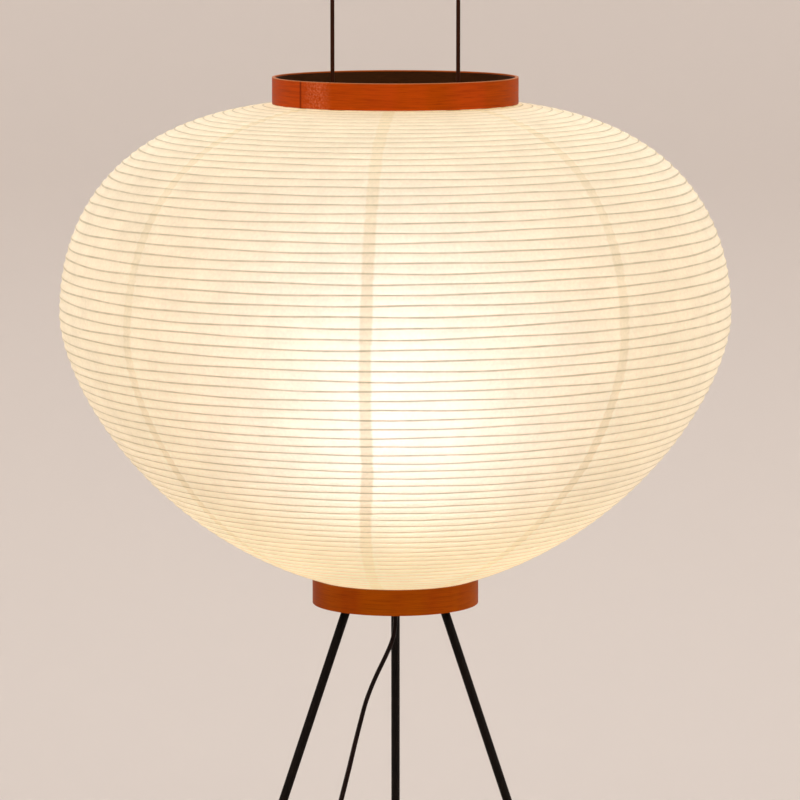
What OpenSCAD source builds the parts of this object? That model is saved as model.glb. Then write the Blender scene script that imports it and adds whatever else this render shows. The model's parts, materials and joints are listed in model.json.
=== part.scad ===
// Paper lantern floor lamp. A collapsible paper shade, wound on one long bamboo rib, stands between
// two bentwood rings on a stand of three rods with a wire carry loop. Z is up, the floor is z = 0,
// the photographed front is -Y, and the single leg points back, to +Y.

/* [Stand] */
// Height of the lamp, from the floor to the top of the carry loop
lamp_h = 1220; // [1100:5:1400]
// Height of the shade's lower edge above the floor
shade_z = 545; // [480:5:620]
// Angle that each leg leans out from upright
leg_splay = 21.3; // [19:0.1:22]
// Diameter of a leg rod
leg_d = 7; // [6:0.5:8]
// Radius of the circle on which the legs meet the hub
socket_circle_r = 39.7; // [38:0.1:41]
// Outer diameter of a leg socket
socket_d = 13; // [12:0.5:14]
// Diameter of the threaded stud on top of a leg
stud_d = 5; // [4:0.5:5]
// Length of the stud
stud_l = 16; // [12:1:18]
// Outer diameter of a rubber foot
foot_d = 11; // [10:0.5:12]
// Height of a rubber foot
foot_h = 24; // [18:1:30]
// Thickness of the hub plate
hub_t = 3; // [2:0.5:4]
// Height of the hub plate's underside above the shade's lower edge
hub_rise = 10; // [8:0.5:11]
// Width of a tab that holds the hub to the lower ring
tab_w = 12; // [10:0.5:14]
// Diameter of the wire of the carry loop
loop_d = 3.2; // [2.8:0.1:4]
// Distance of each upright from the lamp's axis
loop_x = 49.3; // [48:0.1:51]
// Inner bend radius of the loop's upper corners
loop_bend_r = 14; // [8:1:30]

/* [Shade] */
// Radius of the paper where it is widest
shade_r = 265; // [240:1:290]
// Height from the shade's lower edge to where it is widest
belly_h = 230.5; // [200:0.5:260]
// Height from where the shade is widest to its upper edge
crown_h = 187.2; // [160:0.1:210]
// Outer radius of the upper ring
top_ring_r = 96.8; // [92:0.1:102]
// Height of the upper ring
top_ring_h = 20.8; // [18:0.1:24]
// Outer radius of the lower ring
bottom_ring_r = 66; // [65:0.1:70]
// Height of the lower ring
bottom_ring_h = 20.6; // [19:0.1:24]
// Thickness of the bent wood of a ring
band_t = 2.4; // [2:0.1:3]
// Thickness of the dark lining inside a ring
lining_t = 1.2; // [1:0.1:1.6]
// Thickness of the paper
paper_t = 0.4; // [0.3:0.05:0.5]
// Depth that the paper draws in between two turns of the rib
paper_sag = 0.8; // [0.5:0.1:1]
// Distance along the paper from one turn of the rib to the next
rib_pitch = 8; // [7.5:0.1:10]
// Diameter of the bamboo rib
rib_d = 1.2; // [1:0.1:1.4]

/* [Rim arms] */
// Depth of the arms' middle below the shade's upper edge
arm_drop = 14; // [12:0.5:16]
// Width of an arm
arm_w = 8; // [6:0.5:10]
// Thickness of an arm's spring steel
arm_t = 1.2; // [1:0.1:1.6]
// Length of the rolled eye that grips an upright
eye_l = 12; // [10:0.5:14]
// Wall of the rolled eye
eye_wall = 1.6; // [1.2:0.1:2]

/* [Lampholder] */
// Height of the lampholder's lower end above the shade's lower edge
holder_rise = 65; // [55:1:80]
// Outer radius of the lampholder
holder_r = 19.5; // [19:0.1:21]
// Height of the lampholder's cap
holder_cap_h = 20; // [19:0.5:24]
// Height of the lampholder's shell
holder_shell_h = 34; // [34:0.5:38]
// Wall of the lampholder's mouldings
holder_wall = 2; // [1.6:0.1:2.2]
// Diameter of the hollow stem
stem_d = 10; // [9.6:0.1:10.4]
// Bore of the stem
stem_bore = 8; // [7:0.1:8.4]
// Radius of the bulb's globe
bulb_r = 40; // [30:1:42]
// Outer radius of the bulb's screw cap
cap_r = 13.1; // [12.9:0.05:13.2]
// Height of the bulb's screw cap, contact included
cap_h = 27; // [26:0.5:28]

/* [Cord] */
// Width of the twin flex
cord_w = 5.4; // [5:0.1:5.6]
// Thickness of the twin flex
cord_t = 3.4; // [3:0.1:3.5]
// Middle radius of the coil's innermost turn
coil_in_r = 21.8; // [21.6:0.1:23]
// Turns in each of the coil's two layers
coil_turns = 3.5; // [2.5:1:3.5]
// Thickness of the coil's tie
tie_t = 0.8; // [0.6:0.1:1]
// Width of the coil's tie
tie_w = 8; // [6:0.5:10]
// Radius of the round foot switch
switch_r = 31; // [31:0.5:33]
// Height of the foot switch's cover
switch_h = 20; // [20:0.5:23]
// Radius of the switch's button
button_r = 10.4; // [9:0.1:11]
// Travel of the switch's button
button_travel = 3; // [2:0.5:3]
// Diameter of a plug pin
pin_d = 4; // [3.9:0.1:4]
// Length of a plug pin
pin_l = 19; // [18:0.5:19]
// Distance between the plug's pins
pin_gap = 18.6; // [17.5:0.1:19]
// Length of the plug's body
plug_l = 33; // [30:0.5:38]
// Width of the plug's body
plug_w = 34; // [30:0.5:35.5]
// Thickness of the plug's body
plug_t = 13.6; // [13.6:0.1:14]

/* [Hidden] */

far = 400;        // longer than any cut
fit = 0.05;       // radial clearance of a running fit
glue = 0.1;       // joint between wood and lining
seat = 0.3;       // room round a piece that is dropped in
black = [0.05, 0.045, 0.04];
wood_colour = [0.66, 0.25, 0.07];

// Heights
belly_z = shade_z + belly_h;
rim_z = belly_z + crown_h;
paper_top_z = rim_z - top_ring_h;
paper_foot_z = shade_z + bottom_ring_h;
hub_z = shade_z + hub_rise;
hub_top = hub_z + hub_t;
arm_z = rim_z - arm_drop;
holder_z = shade_z + holder_rise;
shell_z = holder_z + holder_cap_h;

// Legs: distances along a leg are counted upwards from where its axis meets the hub's underside
leg_turns = [120, -120, 0];
leg_run = hub_z / cos(leg_splay);
foot_circle_r = socket_circle_r + hub_z * tan(leg_splay);
socket_below = 11;
socket_above = 10;
leg_end_z = 5;
window_in_r = 17;
window_out_r = 43;
window_span = 80;

// Rings
lining_gap = band_t + glue + lining_t;
top_in_r = top_ring_r - lining_gap;
bottom_in_r = bottom_ring_r - lining_gap;
lining_short = 1;
screw_d = 2.4;
screw_head_r = 2.6;
screw_head_t = 1.1;
head_room = 0.08;
tab_t = 1.8;
tab_h = 11;
tab_turns = [30, 150, 270];
screw_bite = lining_t + glue + band_t / 2;
hub_screw_z = hub_z + 7;

// Small fixings
nut_t = 2.4;
nut_flat = 5.5;
stem_nut_t = 3;
stem_nut_flat = 14;
washer_t = 1;
washer_r = 8.5;
stem_low = stem_nut_t + washer_t + 2;
stem_end = 8;

// Lampholder and bulb
holder_floor = 3;
ledge_w = 2;
insert_z = shell_z - 3;
insert_h = 9;
insert_top = insert_z + insert_h;
sleeve_wall = 0.5;
sleeve_r = cap_r + 0.08;
contact_rise = 1.9;
bulb_z = insert_top + contact_rise + seat;
cap_top = bulb_z + cap_h;
neck_r = cap_r + 0.7;
neck_share = 1.225;  // from the cap to the globe's middle, in globe radii
globe_z = cap_top + neck_share * bulb_r;
glass_t = 0.9;
terminal_h = 6;
terminal_r = 2.2;
grip_len = 12;
grip_z = hub_z - stem_low - grip_len;

// ---------------------------------------------------------------- stand

module on_leg(turn) {
  rotate([0, 0, turn]) translate([0, socket_circle_r, hub_z]) rotate([leg_splay, 0, 0]) children();
}

module leg(turn) {
  foot_end = leg_run - leg_end_z / cos(leg_splay);
  color(black) on_leg(turn) union() {
    translate([0, 0, -foot_end]) cylinder(d = leg_d, h = foot_end - socket_below, $fn = 48);
    translate([0, 0, -socket_below - 1]) cylinder(d = stud_d, h = stud_l + 1, $fn = 48);
  }
}

module foot(turn) {
  inner_end = leg_run - leg_end_z / cos(leg_splay);
  color(black) difference() {
    on_leg(turn) translate([0, 0, -leg_run - foot_d]) difference() {
      cylinder(d = foot_d, h = foot_h + foot_d, $fn = 48);
      translate([0, 0, leg_run + foot_d - inner_end - seat])
        cylinder(d = leg_d + 2 * fit, h = far, $fn = 48);
    }
    translate([-far, -far, -far]) cube([2 * far, 2 * far, far]);
  }
}

// A window of the hub plate, for air, centred on the angle turn
module hub_window(turn) {
  rotate([0, 0, turn - window_span / 2]) translate([0, 0, hub_z - 1])
    rotate_extrude(angle = window_span, $fn = 96)
      translate([window_in_r, 0]) square([window_out_r - window_in_r, hub_t + 2]);
}

module hub() {
  plate_r = bottom_in_r - 0.8;
  color(black) difference() {
    union() {
      difference() {
        translate([0, 0, hub_z]) cylinder(r = plate_r, h = hub_t, $fn = 128);
        for (turn = tab_turns) hub_window(turn);
      }
      translate([0, 0, hub_z]) intersection() {
        difference() {
          cylinder(r = bottom_in_r - glue, h = tab_h, $fn = 128);
          translate([0, 0, -1]) cylinder(r = bottom_in_r - glue - tab_t, h = far, $fn = 128);
        }
        for (turn = tab_turns) rotate([0, 0, turn])
          translate([bottom_in_r / 2, -tab_w / 2, 0]) cube([bottom_in_r, tab_w, tab_h]);
      }
      for (turn = leg_turns) on_leg(turn) translate([0, 0, -socket_below])
        cylinder(d = socket_d, h = socket_below + socket_above, $fn = 64);
    }
    for (turn = leg_turns) on_leg(turn) translate([0, 0, -far / 2])
      cylinder(d = stud_d + 2 * fit, h = far, $fn = 48);
    for (side = [-1, 1]) translate([side * loop_x, 0, hub_z - 1])
      cylinder(d = loop_d + 2 * fit, h = hub_t + 2, $fn = 48);
    translate([0, 0, hub_z - 1]) cylinder(d = stem_d + 2 * fit, h = hub_t + 2, $fn = 64);
    for (turn = tab_turns) rotate([0, 0, turn]) translate([bottom_in_r / 2, 0, hub_screw_z])
      rotate([0, 90, 0]) cylinder(d = screw_d + 2 * fit, h = bottom_in_r, $fn = 32);
  }
}

module upright_loop() {
  low = hub_z - nut_t - 1.5;
  bend = loop_bend_r + loop_d / 2;
  bend_z = lamp_h - loop_d / 2 - bend;
  color(black) union() {
    for (side = [-1, 1]) translate([side * loop_x, 0, low])
      cylinder(d = loop_d, h = bend_z - low, $fn = 48);
    for (side = [0, 1]) mirror([side, 0, 0]) translate([loop_x - bend, 0, bend_z])
      rotate([90, 0, 0]) rotate_extrude(angle = 90, $fn = 96)
        translate([bend, 0]) circle(d = loop_d, $fn = 48);
    translate([-(loop_x - bend), 0, bend_z + bend]) rotate([0, 90, 0])
      cylinder(d = loop_d, h = 2 * (loop_x - bend), $fn = 48);
  }
}

module nut(flat, bore, height) {
  difference() {
    cylinder(d = flat / cos(30), h = height, $fn = 6);
    translate([0, 0, -1]) cylinder(d = bore, h = height + 2, $fn = 48);
  }
}

module loop_nuts() {
  color("silver") for (side = [-1, 1], z = [hub_z - nut_t, hub_top])
    translate([side * loop_x, 0, z]) nut(nut_flat, loop_d + 2 * fit, nut_t);
}

module stem_tube() {
  low = hub_z - stem_low;
  color("silver") translate([0, 0, low]) difference() {
    cylinder(d = stem_d, h = holder_z + stem_end - low, $fn = 64);
    translate([0, 0, -1]) cylinder(d = stem_bore, h = far, $fn = 64);
  }
}

module stem_nuts() {
  bore = stem_d + 2 * fit;
  inside_z = holder_z + holder_floor;
  color("silver") for (z = [hub_z - washer_t - stem_nut_t, hub_top + washer_t, inside_z])
    translate([0, 0, z]) nut(stem_nut_flat, bore, stem_nut_t);
}

module stem_washers() {
  color("silver") for (z = [hub_z - washer_t, hub_top]) translate([0, 0, z]) difference() {
    cylinder(r = washer_r, h = washer_t, $fn = 64);
    translate([0, 0, -1]) cylinder(d = stem_d + 2 * fit, h = washer_t + 2, $fn = 64);
  }
}

module cord_grip() {
  top = hub_z - stem_low;
  tip_r = cord_w / 2 + 1;
  root_r = stem_d / 2 + 0.8;
  color(black) translate([0, 0, grip_z]) difference() {
    union() {
      cylinder(r1 = tip_r, r2 = root_r, h = grip_len, $fn = 48);
      cylinder(r = stem_bore / 2 - fit, h = grip_len + 8, $fn = 48);
    }
    translate([0, 0, -1]) cylinder(d = cord_w + 0.4, h = far, $fn = 48);
  }
}

module inner_lead() {
  core = cord_t / 2;
  color(black) translate([0, 0, grip_z])
    linear_extrude(insert_z - terminal_h - grip_z) union() {
      for (side = [-1, 1]) translate([side * (cord_w / 2 - core), 0]) circle(core, $fn = 32);
      square([cord_w - 2 * core, cord_t * 0.7], center = true);
    }
}

// ---------------------------------------------------------------- lampholder and bulb

module holder_cap() {
  corner = 6;
  inner_r = holder_r - holder_wall;
  color("ivory") translate([0, 0, holder_z]) difference() {
    rotate_extrude($fn = 96) union() {
      square([holder_r - corner, holder_cap_h]);
      translate([0, corner]) square([holder_r, holder_cap_h - corner]);
      translate([holder_r - corner, corner]) circle(corner, $fn = 48);
    }
    translate([0, 0, holder_floor]) cylinder(r = inner_r - ledge_w, h = far, $fn = 96);
    translate([0, 0, insert_z - holder_z]) cylinder(r = inner_r, h = far, $fn = 96);
    translate([0, 0, -1]) cylinder(d = stem_d + 2 * fit, h = far, $fn = 64);
  }
}

module holder_shell() {
  inner_r = holder_r - holder_wall;
  color("ivory") translate([0, 0, shell_z]) difference() {
    union() {
      cylinder(r = holder_r, h = holder_shell_h - 2, $fn = 96);
      cylinder(r = holder_r - 2, h = holder_shell_h, $fn = 96);
      translate([0, 0, holder_shell_h - 2]) rotate_extrude($fn = 96)
        translate([holder_r - 2, 0]) circle(2, $fn = 32);
      for (ring = [0:3]) translate([0, 0, 4 + 3 * ring])
        cylinder(r = holder_r + 0.5, h = 1.2, $fn = 96);
    }
    translate([0, 0, -1]) cylinder(r = inner_r, h = holder_shell_h - 1, $fn = 96);
    cylinder(r = neck_r + 1, h = far, $fn = 96);
  }
}

module holder_insert() {
  color("white") translate([0, 0, insert_z]) difference() {
    cylinder(r = holder_r - holder_wall - seat, h = insert_h, $fn = 96);
    for (side = [-1, 1]) translate([side * 12, 0, -1]) cylinder(r = 1.6, h = far, $fn = 32);
  }
}

module thread_sleeve() {
  outer = sleeve_r + sleeve_wall;
  color("gold") translate([0, 0, insert_top]) difference() {
    cylinder(r = outer, h = cap_h - 3, $fn = 96);
    translate([0, 0, sleeve_wall]) cylinder(r = sleeve_r, h = far, $fn = 96);
    translate([0, 0, -1]) cylinder(r = 9, h = far, $fn = 64);
  }
}

module centre_contact() {
  leaf = 0.5;
  color("gold") translate([0, 0, insert_top]) difference() {
    translate([-5, -2.5, 0]) cube([10, 5, contact_rise]);
    translate([-5 + leaf, -3, leaf]) cube([10, 6, contact_rise - 2 * leaf]);
  }
}

module terminals() {
  color("gold") for (side = [-1, 1]) difference() {
    translate([side * 4, 0, insert_z - terminal_h]) cylinder(r = terminal_r, h = terminal_h, $fn = 32);
    translate([side * 4 - 0.4, -5, insert_z - terminal_h - 1]) cube([0.8, 10, 2]);
  }
}

module globe_outline(inset) {
  r = bulb_r - inset;
  neck = neck_r - inset;
  drop = globe_z - cap_top - inset;
  reach = norm([neck, drop]);
  turn = atan2(neck, drop) + acos(r / reach);
  intersection() {
    union() {
      circle(r, $fn = 128);
      polygon([[0, -drop], [neck, -drop], [r * sin(turn), -r * cos(turn)], [0, 0]]);
    }
    translate([0, -far / 2]) square(far);
  }
}

module bulb_glass() {
  color("white") translate([0, 0, globe_z]) rotate_extrude($fn = 128) difference() {
    globe_outline(0);
    globe_outline(glass_t);
  }
}

module bulb_cap() {
  skin = 0.6;
  low = 3;
  bevel = 4;
  foot_r = 8.6;
  color("silver") translate([0, 0, bulb_z]) rotate_extrude($fn = 96) polygon([
    [foot_r, low], [cap_r, low + bevel], [cap_r, cap_h], [cap_r - skin, cap_h],
    [cap_r - skin, low + bevel + skin / 2], [foot_r, low + skin]]);
}

module bulb_insulator() {
  color(black) translate([0, 0, bulb_z + 1]) cylinder(r1 = 6, r2 = 8.5, h = 2.5, $fn = 64);
}

module bulb_contact() {
  color("silver") translate([0, 0, bulb_z]) cylinder(r1 = 3.4, r2 = 4.6, h = 1, $fn = 48);
}

// ---------------------------------------------------------------- rings and rim arms

module band(r, h, z, turns, screw_z) {
  color(wood_colour) difference() {
    translate([0, 0, z]) cylinder(r = r, h = h, $fn = 180);
    translate([0, 0, z - 1]) cylinder(r = r - band_t, h = h + 2, $fn = 180);
    for (turn = turns) rotate([0, 0, turn]) translate([0, 0, screw_z]) rotate([0, 90, 0])
      cylinder(d = screw_d + 2 * fit, h = r - band_t / 2 + fit, $fn = 32);
  }
}

module lining(ring_r, h, z, turns, screw_z) {
  outer = ring_r - band_t - glue;
  color([0.16, 0.1, 0.05]) difference() {
    translate([0, 0, z + lining_short]) cylinder(r = outer, h = h - 2 * lining_short, $fn = 180);
    translate([0, 0, z - 1]) cylinder(r = outer - lining_t, h = h + 2, $fn = 180);
    for (turn = turns) rotate([0, 0, turn]) translate([0, 0, screw_z]) rotate([0, 90, 0])
      cylinder(d = screw_d + 2 * fit, h = far, $fn = 32);
  }
}

module bottom_ring() band(bottom_ring_r, bottom_ring_h, shade_z, tab_turns, hub_screw_z);
module bottom_lining() lining(bottom_ring_r, bottom_ring_h, shade_z, tab_turns, hub_screw_z);
module top_ring() band(top_ring_r, top_ring_h, paper_top_z, [0, 180], arm_z);
module top_lining() lining(top_ring_r, top_ring_h, paper_top_z, [0, 180], arm_z);

// A round-headed screw along +X, whose head bears on the face at x = face_x
module wood_screw(face_x, bite) {
  translate([face_x, 0, 0]) rotate([0, 90, 0]) {
    cylinder(d = screw_d, h = bite, $fn = 32);
    translate([0, 0, -screw_head_t]) cylinder(r1 = screw_head_r * 0.6, r2 = screw_head_r,
      h = screw_head_t, $fn = 32);
  }
}

module hub_screws() {
  face = bottom_in_r - glue - tab_t - head_room;
  color("goldenrod") for (turn = tab_turns) rotate([0, 0, turn]) translate([0, 0, hub_screw_z])
    wood_screw(face, tab_t + glue + screw_bite);
}

module rim_arm(turn) {
  tab_out = top_in_r - glue;
  color(black) rotate([0, 0, turn]) translate([0, 0, arm_z]) difference() {
    union() {
      translate([loop_x, 0, -eye_l / 2])
        cylinder(r = loop_d / 2 + fit + eye_wall, h = eye_l, $fn = 48);
      translate([loop_x, -arm_w / 2, -tab_h / 2])
        cube([tab_out - tab_t / 2 - loop_x, arm_w, arm_t]);
      intersection() {
        difference() {
          cylinder(r = tab_out, h = tab_h, center = true, $fn = 180);
          cylinder(r = tab_out - tab_t, h = far, center = true, $fn = 180);
        }
        translate([loop_x, -arm_w / 2, -tab_h / 2]) cube([far, arm_w, tab_h]);
      }
    }
    translate([loop_x, 0, 0]) cylinder(d = loop_d + 2 * fit, h = far, center = true, $fn = 48);
    translate([loop_x + 10, 0, 0]) rotate([0, 90, 0])
      cylinder(d = screw_d + 2 * fit, h = far, $fn = 32);
  }
}

module arm_screws() {
  face = top_in_r - glue - tab_t - head_room;
  color("goldenrod") for (turn = [0, 180]) rotate([0, 0, turn]) translate([0, 0, arm_z])
    wood_screw(face, tab_t + glue + screw_bite);
}

// ---------------------------------------------------------------- paper and rib

// The meridian is two superellipse quarters that meet at the belly
upper_r_power = 3.14;
upper_z_power = 2.16;
lower_r_power = 1.83;
lower_z_power = 1.6;
paper_lap = 0.8;
paper_foot_r = bottom_ring_r - paper_lap;
paper_head_r = top_ring_r - paper_lap;
paper_head_z = paper_top_z - seat;
upper_h = (paper_head_z - belly_z)
  / pow(1 - pow(paper_head_r / shade_r, upper_r_power), 1 / upper_z_power);
lower_h = (belly_z - paper_foot_z)
  / pow(1 - pow(paper_foot_r / shade_r, lower_r_power), 1 / lower_z_power);

function paper_r(z) = z >= belly_z
  ? shade_r * pow(max(0, 1 - pow((z - belly_z) / upper_h, upper_z_power)), 1 / upper_r_power)
  : shade_r * pow(max(0, 1 - pow((belly_z - z) / lower_h, lower_z_power)), 1 / lower_r_power);

// Arc length along the meridian, as a table of [length, z]
steps = 240;
meridian_z = [for (i = [0:steps]) paper_foot_z + (paper_head_z - paper_foot_z) * i / steps];
pieces = [for (i = [1:steps])
  norm([paper_r(meridian_z[i]) - paper_r(meridian_z[i - 1]), meridian_z[i] - meridian_z[i - 1]])];
function running(list) = [for (i = 0, sum = 0; i <= len(list); sum = sum + (i < len(list) ? list[i] : 0),
  i = i + 1) sum];
sums = running(pieces);
z_by_length = [for (i = [0:steps]) [sums[i], meridian_z[i]]];
meridian_l = sums[steps];
turns = round(meridian_l / rib_pitch);

// A point of the meridian, moved outwards by off
function meridian_at(share, off) = let(
  s = share * meridian_l,
  low = lookup(max(0, s - 0.5), z_by_length),
  high = lookup(min(meridian_l, s + 0.5), z_by_length),
  way = [paper_r(high) - paper_r(low), high - low],
  z = lookup(s, z_by_length))
  [paper_r(z), z] + off * [way[1], -way[0]] / norm(way);

module paper_skin() {
  points = 2 * turns;
  outer = [for (i = [0:points]) meridian_at(i / points, i % 2 == 1 ? -paper_sag : 0)];
  inner = [for (i = [points:-1:0]) meridian_at(i / points, (i % 2 == 1 ? -paper_sag : 0) - paper_t)];
  color("ivory") rotate_extrude($fn = 180) polygon(concat(outer, inner));
}

// A closed tube through rings of points: rings is a list of lists of equally many points
module skin_tube(rings) {
  n = len(rings[0]);
  last = len(rings) - 1;
  faces = [
    [for (k = [0:n - 1]) k],
    [for (k = [n - 1:-1:0]) last * n + k],
    for (i = [0:last - 1], k = [0:n - 1]) let(a = i * n, b = a + n, m = (k + 1) % n)
      each [[a + k, b + k, a + m], [a + m, b + k, b + m]]];
  polyhedron([for (ring = rings) each ring], faces);
}

rib_steps = 16;
rib_inset = paper_sag + paper_t + rib_d / 2 + 0.2;
rib_rings = [for (i = [0:(turns - 1) * rib_steps]) let(
  p = meridian_at((0.5 + i / rib_steps) / turns, -rib_inset),
  turn = 360 * i / rib_steps)
  [for (k = [0:2]) let(
    r = p[0] + rib_d / 2 * cos(120 * k),
    z = p[1] + rib_d / 2 * sin(120 * k))
    [r * cos(turn), r * sin(turn), z]]];
rib_gap = min([for (i = [0:len(rib_rings) - 1 - rib_steps], a = rib_rings[i],
  b = rib_rings[i + rib_steps]) norm(a - b)]);

module rib_spiral() {
  color("tan") skin_tube(rib_rings);
}

// ---------------------------------------------------------------- cord, switch, coil and plug

switch_x = -161;
switch_y = -20;
entry_z = 5;
coil_x = -130;
coil_y = -130;
floor_z = cord_t / 2;
coil_room = 0.5;
coil_step = cord_w + coil_room;
coil_out_r = coil_in_r + coil_turns * coil_step;
layer_h = cord_t + coil_room;
layer_z = tie_t + cord_t / 2 + 0.1;
coil_start_l = cord_w + 0.6;
coil_end_l = 19;
coil_sides = 24;
plug_z = plug_t / 2;
plug_y = coil_y + coil_out_r;

// Route of the free drop, from the grip to the switch, drawn for a grip that ends at its first point
drop_shape = [[0, 0, 536.9], [0, 0, 530], [-0.4, -1, 524], [-1.4, -2, 518], [-3.4, -3, 511.5],
  [-6.6, -4, 504], [-10.4, -4.5, 496], [-14.7, -5, 487], [-19.4, -5, 476], [-24, -5, 463],
  [-28, -6, 448], [-32, -6, 432], [-37, -7, 411], [-43, -8, 387], [-51, -10, 355],
  [-58, -12, 320], [-65, -14, 280], [-71, -16, 240], [-76, -18, 200], [-80, -19, 160],
  [-83, -20, 120], [-85, -20, 85], [-87, -20, 56], [-91, -20, 33], [-98, -20, 17],
  [-108, -20, 8], [-119, -20, 5], [-130, -20, 5]];
drop_stretch = (grip_z - glue - entry_z) / (drop_shape[0][2] - entry_z);
drop_route = [for (p = drop_shape) [p[0], p[1], entry_z + drop_stretch * (p[2] - entry_z)]];
// Route along the floor, from the switch to the coil
tail_route = concat(
  [[-192, -20, entry_z], [-202, -20, 4], [-214, -20, 2]],
  [for (p = [[-227, -23], [-238, -31], [-244, -43], [-244, -57], [-238, -70], [-227, -79],
    [-213, -84.9], [-195, plug_y], [-176, plug_y]]) [p[0], p[1], floor_z]],
  [[-156, plug_y, 2], [-142, plug_y, 2.5],
    [coil_x - coil_start_l - glue, plug_y, layer_z]]);

function unit(v) = v / norm(v);
// A smooth curve through the points, halved between each two of them
function between(p, i) = let(a = p[max(0, i - 1)], b = p[i], c = p[i + 1],
  d = p[min(len(p) - 1, i + 2)]) (-a + 9 * b + 9 * c - d) / 16;
function smooth(p) = [for (i = [0:2 * len(p) - 2])
  i % 2 == 0 ? p[i / 2] : between(p, (i - 1) / 2)];
// Eight points round the flat cord at point i; its width lies square to the way and to up
function cord_ring(p, i, up) = let(
  way = unit(p[min(len(p) - 1, i + 1)] - p[max(0, i - 1)]),
  side = unit(cross(way, up)),
  rise = cross(side, way))
  [for (k = [0:7]) let(turn = 22.5 + 45 * k)
    p[i] + (side * cord_w * cos(turn) + rise * cord_t * sin(turn)) / 2 / cos(22.5)];
function cord_rings(route, up) = let(p = smooth(route)) [for (i = [0:len(p) - 1]) cord_ring(p, i, up)];

module cord_drop() {
  color(black) skin_tube(cord_rings(drop_route, [-1, 0, 0.5]));
}

module cord_tail() {
  color(black) skin_tube(cord_rings(tail_route, [0, 0, 1]));
}

// A clockwise turn u from the coil's start, spiralling in and then out again, one layer up
function coil_point(u) = let(
  r = coil_in_r + coil_step * abs(coil_turns - u),
  climb = min(1, max(0, (u - coil_turns) * 2 + 0.5)),
  lift = min(1, max(0, (u - 2 * coil_turns + 0.75) * 2)) * (plug_z - layer_z - layer_h),
  turn = 90 - 360 * u)
  [coil_x + r * cos(turn), coil_y + r * sin(turn), layer_z + layer_h * climb + lift];
coil_line = concat(
  [coil_point(0) - [coil_start_l, 0, 0]],
  [for (i = [0:2 * coil_turns * coil_sides]) coil_point(i / coil_sides)],
  [coil_point(2 * coil_turns) + [cord_w, 0, 0], coil_point(2 * coil_turns) + [coil_end_l, 0, 0]]);
// Six points round the flat cord; the first and last rings are square to the cord's straight ends
coil_rings = [for (i = [0:len(coil_line) - 1]) let(
  ends = i < 2 || i > len(coil_line) - 4,
  u = (i - 1) / coil_sides,
  out = ends ? [0, 1, 0] : [cos(90 - 360 * u), sin(90 - 360 * u), 0])
  [for (k = [0:5]) coil_line[i]
    + out * cord_w / 2 * cos(60 * k) - [0, 0, cord_t / 2 * sin(60 * k) / sin(60)]]];
coil_gap = min([for (i = [0:len(coil_rings) - 1 - coil_sides / 2],
  j = [i + coil_sides / 2:len(coil_rings) - 1]) if (norm(coil_line[i] - coil_line[j]) < 2 * cord_w)
  for (a = coil_rings[i], b = coil_rings[j]) norm(a - b)]);

module cord_coil() {
  color(black) skin_tube(coil_rings);
}

module coil_tie() {
  low_r = coil_in_r - cord_w / 2 - seat;
  high_r = coil_out_r + cord_w / 2 + seat;
  high_z = layer_z + layer_h + cord_t / 2 + seat;
  color(black) translate([coil_x, coil_y, 0]) rotate([0, 0, 240])
    translate([0, tie_w / 2, 0]) rotate([90, 0, 0]) linear_extrude(tie_w) difference() {
      translate([low_r - tie_t, 0]) square([high_r - low_r + 2 * tie_t, high_z + tie_t]);
      translate([low_r, tie_t]) square([high_r - low_r, high_z - tie_t]);
    }
}

base_t = 2.5;
skirt_z = 0.6;
cover_wall = 2;
lug_x = 24;
lug_size = [2, 12, entry_z - cord_t / 2];
boss_circle_r = 20;
boss_turns = [90, 210, 330];
boss_r = 3;
boss_pilot_r = 1.05;
boss_pilot_top = 12;
base_screw_r = 1;
base_screw_head_r = 2.3;
base_hole_room = 0.3;
base_sink = 2;
block_size = [18, 14, 3.2];
block_top = base_t + block_size[2];
flange_t = 2;
flange_w = 1.6;
flange_z = switch_h - cover_wall - seat - flange_t;
button_rise = 7;
dome_r = 33;
peg_r = 3;
spring_r = 5;
spring_turns = 5;
spring_wire_r = 0.4;

module at_switch() {
  translate([switch_x, switch_y, 0]) children();
}

module at_bosses(z) {
  for (turn = boss_turns) rotate([0, 0, turn]) translate([boss_circle_r, 0, z]) children();
}

module switch_outline(inset) {
  shoulder = 11;
  square([switch_r - shoulder, switch_h - inset]);
  square([switch_r - inset, switch_h - shoulder]);
  translate([switch_r - shoulder, switch_h - shoulder]) circle(shoulder - inset, $fn = 96);
}

module switch_base() {
  color(black) at_switch() difference() {
    union() {
      cylinder(r = switch_r - cover_wall - seat, h = base_t, $fn = 96);
      for (side = [-1, 1]) translate([side * lug_x - lug_size[0] / 2, -lug_size[1] / 2, 0])
        cube(lug_size);
    }
    at_bosses(-1) {
      cylinder(r = base_screw_r + base_hole_room, h = far, $fn = 32);
      cylinder(r = base_screw_head_r + base_hole_room, h = base_sink, $fn = 32);
    }
  }
}

module switch_cover() {
  color(black) at_switch() difference() {
    union() {
      rotate_extrude($fn = 128) intersection() {
        difference() {
          switch_outline(0);
          switch_outline(cover_wall);
        }
        translate([0, skirt_z]) square(far);
      }
      at_bosses(base_t) cylinder(r = boss_r, h = switch_h - cover_wall - base_t, $fn = 48);
    }
    cylinder(r = button_r + seat, h = far, $fn = 96);
    at_bosses(0) cylinder(r = boss_pilot_r, h = boss_pilot_top, $fn = 32);
    translate([0, 0, entry_z]) rotate([0, 90, 0]) cylinder(d = cord_w + 0.6, h = far, center = true,
      $fn = 48);
  }
}

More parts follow.
